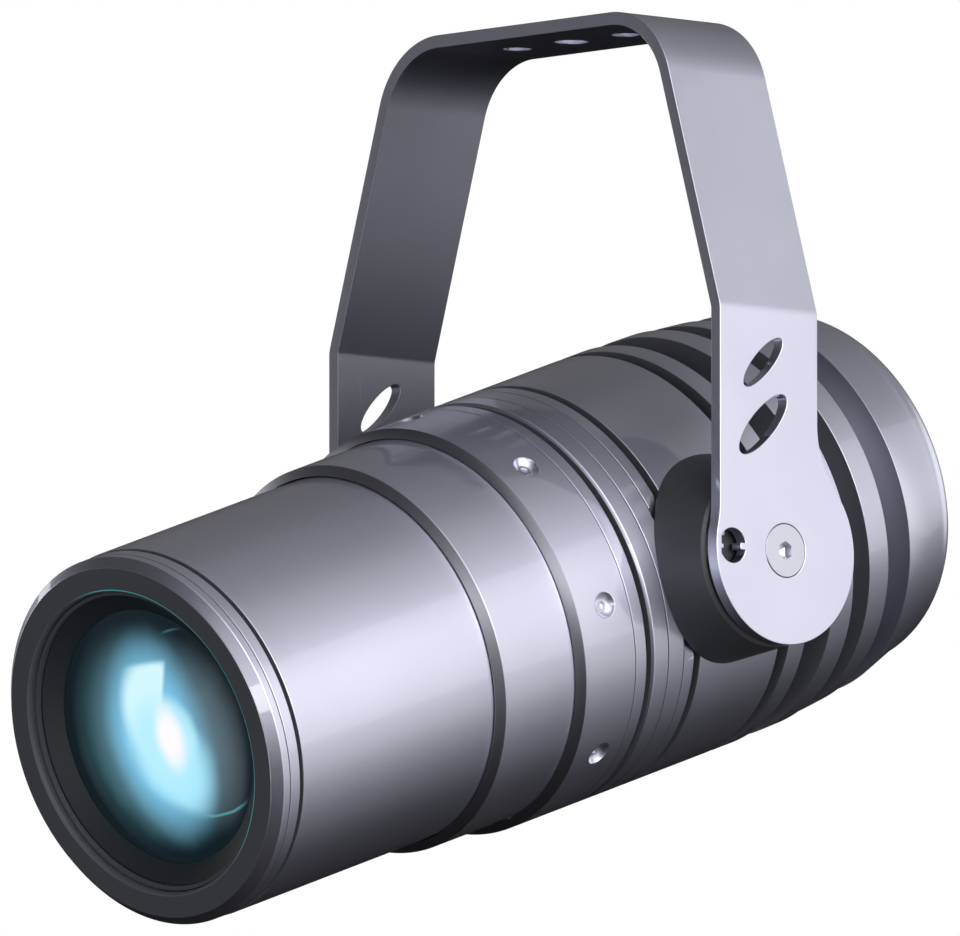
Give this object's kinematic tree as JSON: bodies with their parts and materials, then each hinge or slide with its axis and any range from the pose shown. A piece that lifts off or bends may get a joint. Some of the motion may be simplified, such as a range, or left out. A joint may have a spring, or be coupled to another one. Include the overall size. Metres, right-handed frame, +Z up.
{
  "type": "zoom stage spotlight",
  "caption": "Round stepped metal stage spotlight with a lit front lens, a zoom collar, a finned rear and a flat-bar yoke in which it tilts.",
  "frame": {"origin": "middle of the yoke's centre bolt hole, on the top face of the strap", "axes": "+Z up out of the yoke's top face, -Y the way the lamp faces, +X along the tilt axis to the lamp's left-hand side as seen from behind it"},
  "size_m": [0.2154, 0.4014, 0.3505],
  "materials": {
    "yoke_metal": "satin silver paint",
    "satin_silver": "satin anodised silver",
    "boss_grey": "satin dark grey",
    "bezel_grey": "satin graphite",
    "dark_anodised": "matt dark anodised",
    "screw_steel": "plain steel",
    "lens_glass": "polished, coated",
    "gasket_rubber": "matt black",
    "board_white": "matt white",
    "emitter_yellow": "clear dome over phosphor",
    "gland_black": "matt black"
  },
  "bodies": {
    "yoke": {"yoke": "yoke_metal", "pivot_screw_left": "screw_steel", "pivot_screw_right": "screw_steel"},
    "lamp": {"tilt_disc_left": "dark_anodised", "tilt_disc_right": "dark_anodised", "boss_left": "boss_grey", "boss_right": "boss_grey", "boss_screw_left_lower": "screw_steel", "boss_screw_left_upper": "screw_steel", "boss_screw_right_lower": "screw_steel", "boss_screw_right_upper": "screw_steel", "core_tube": "dark_anodised", "inner_sleeve": "satin_silver", "outer_sleeve": "satin_silver", "sleeve_screw_1": "screw_steel", "sleeve_screw_2": "screw_steel", "sleeve_screw_3": "screw_steel", "sleeve_screw_4": "screw_steel", "sleeve_screw_5": "screw_steel", "sleeve_screw_6": "screw_steel", "sleeve_screw_7": "screw_steel", "sleeve_screw_8": "screw_steel", "lock_ring": "satin_silver", "fixed_collar": "satin_silver", "relief_ring": "satin_silver", "main_housing": "satin_silver", "gate_plate": "dark_anodised", "condenser_holder": "dark_anodised", "condenser_lens": "lens_glass", "condenser_clip": "screw_steel", "led_board": "board_white", "led_emitter": "emitter_yellow", "heat_sink": "satin_silver", "rear_cap": "satin_silver", "cap_screw_1": "screw_steel", "cap_screw_2": "screw_steel", "cap_screw_3": "screw_steel", "driver_board": "board_white", "driver_spacer": "gland_black", "cable_gland": "gland_black", "gland_nut": "gland_black"},
    "barrel": {"front_barrel": "satin_silver", "barrel_cam_pin_1": "screw_steel", "barrel_cam_pin_2": "screw_steel", "bezel_collar": "satin_silver", "front_bezel": "bezel_grey", "lens_trim_ring": "dark_anodised", "lens_retaining_ring": "bezel_grey", "front_lens": "lens_glass", "lens_gasket": "gasket_rubber"},
    "zoom_ring": {"zoom_collar": "satin_silver", "cam_sleeve": "dark_anodised", "collar_drive_pin_1": "screw_steel", "collar_drive_pin_2": "screw_steel"},
    "carriage": {"lens_carriage": "dark_anodised", "zoom_lens": "lens_glass", "carriage_lens_clip": "screw_steel", "carriage_cam_pin_1": "screw_steel", "carriage_cam_pin_2": "screw_steel"}
  },
  "joints": [
    {"name": "tilt", "type": "hinge", "parent": "yoke", "child": "lamp", "pos_m": [0, 0.0085, -0.205], "axis": [1, 0, 0], "range_deg": [-70, 70]},
    {"name": "zoom_turn", "type": "hinge", "parent": "lamp", "child": "zoom_ring", "pos_m": [0, 0.0085, -0.205], "axis": [0, 0.9432, 0.3323], "range_deg": [-40, 40]},
    {"name": "barrel_slide", "type": "slide", "parent": "lamp", "child": "barrel", "axis": [0, 0.9432, 0.3323], "range_m": [-0.01, 0.01]},
    {"name": "carriage_slide", "type": "slide", "parent": "lamp", "child": "carriage", "axis": [0, 0.9432, 0.3323], "range_m": [-0.012, 0.012]}
  ],
  "couplings": [
    {"joint": "barrel_slide", "follows": "zoom_turn", "m_per_rad": 0.01432},
    {"joint": "carriage_slide", "follows": "zoom_turn", "m_per_rad": -0.01718}
  ]
}
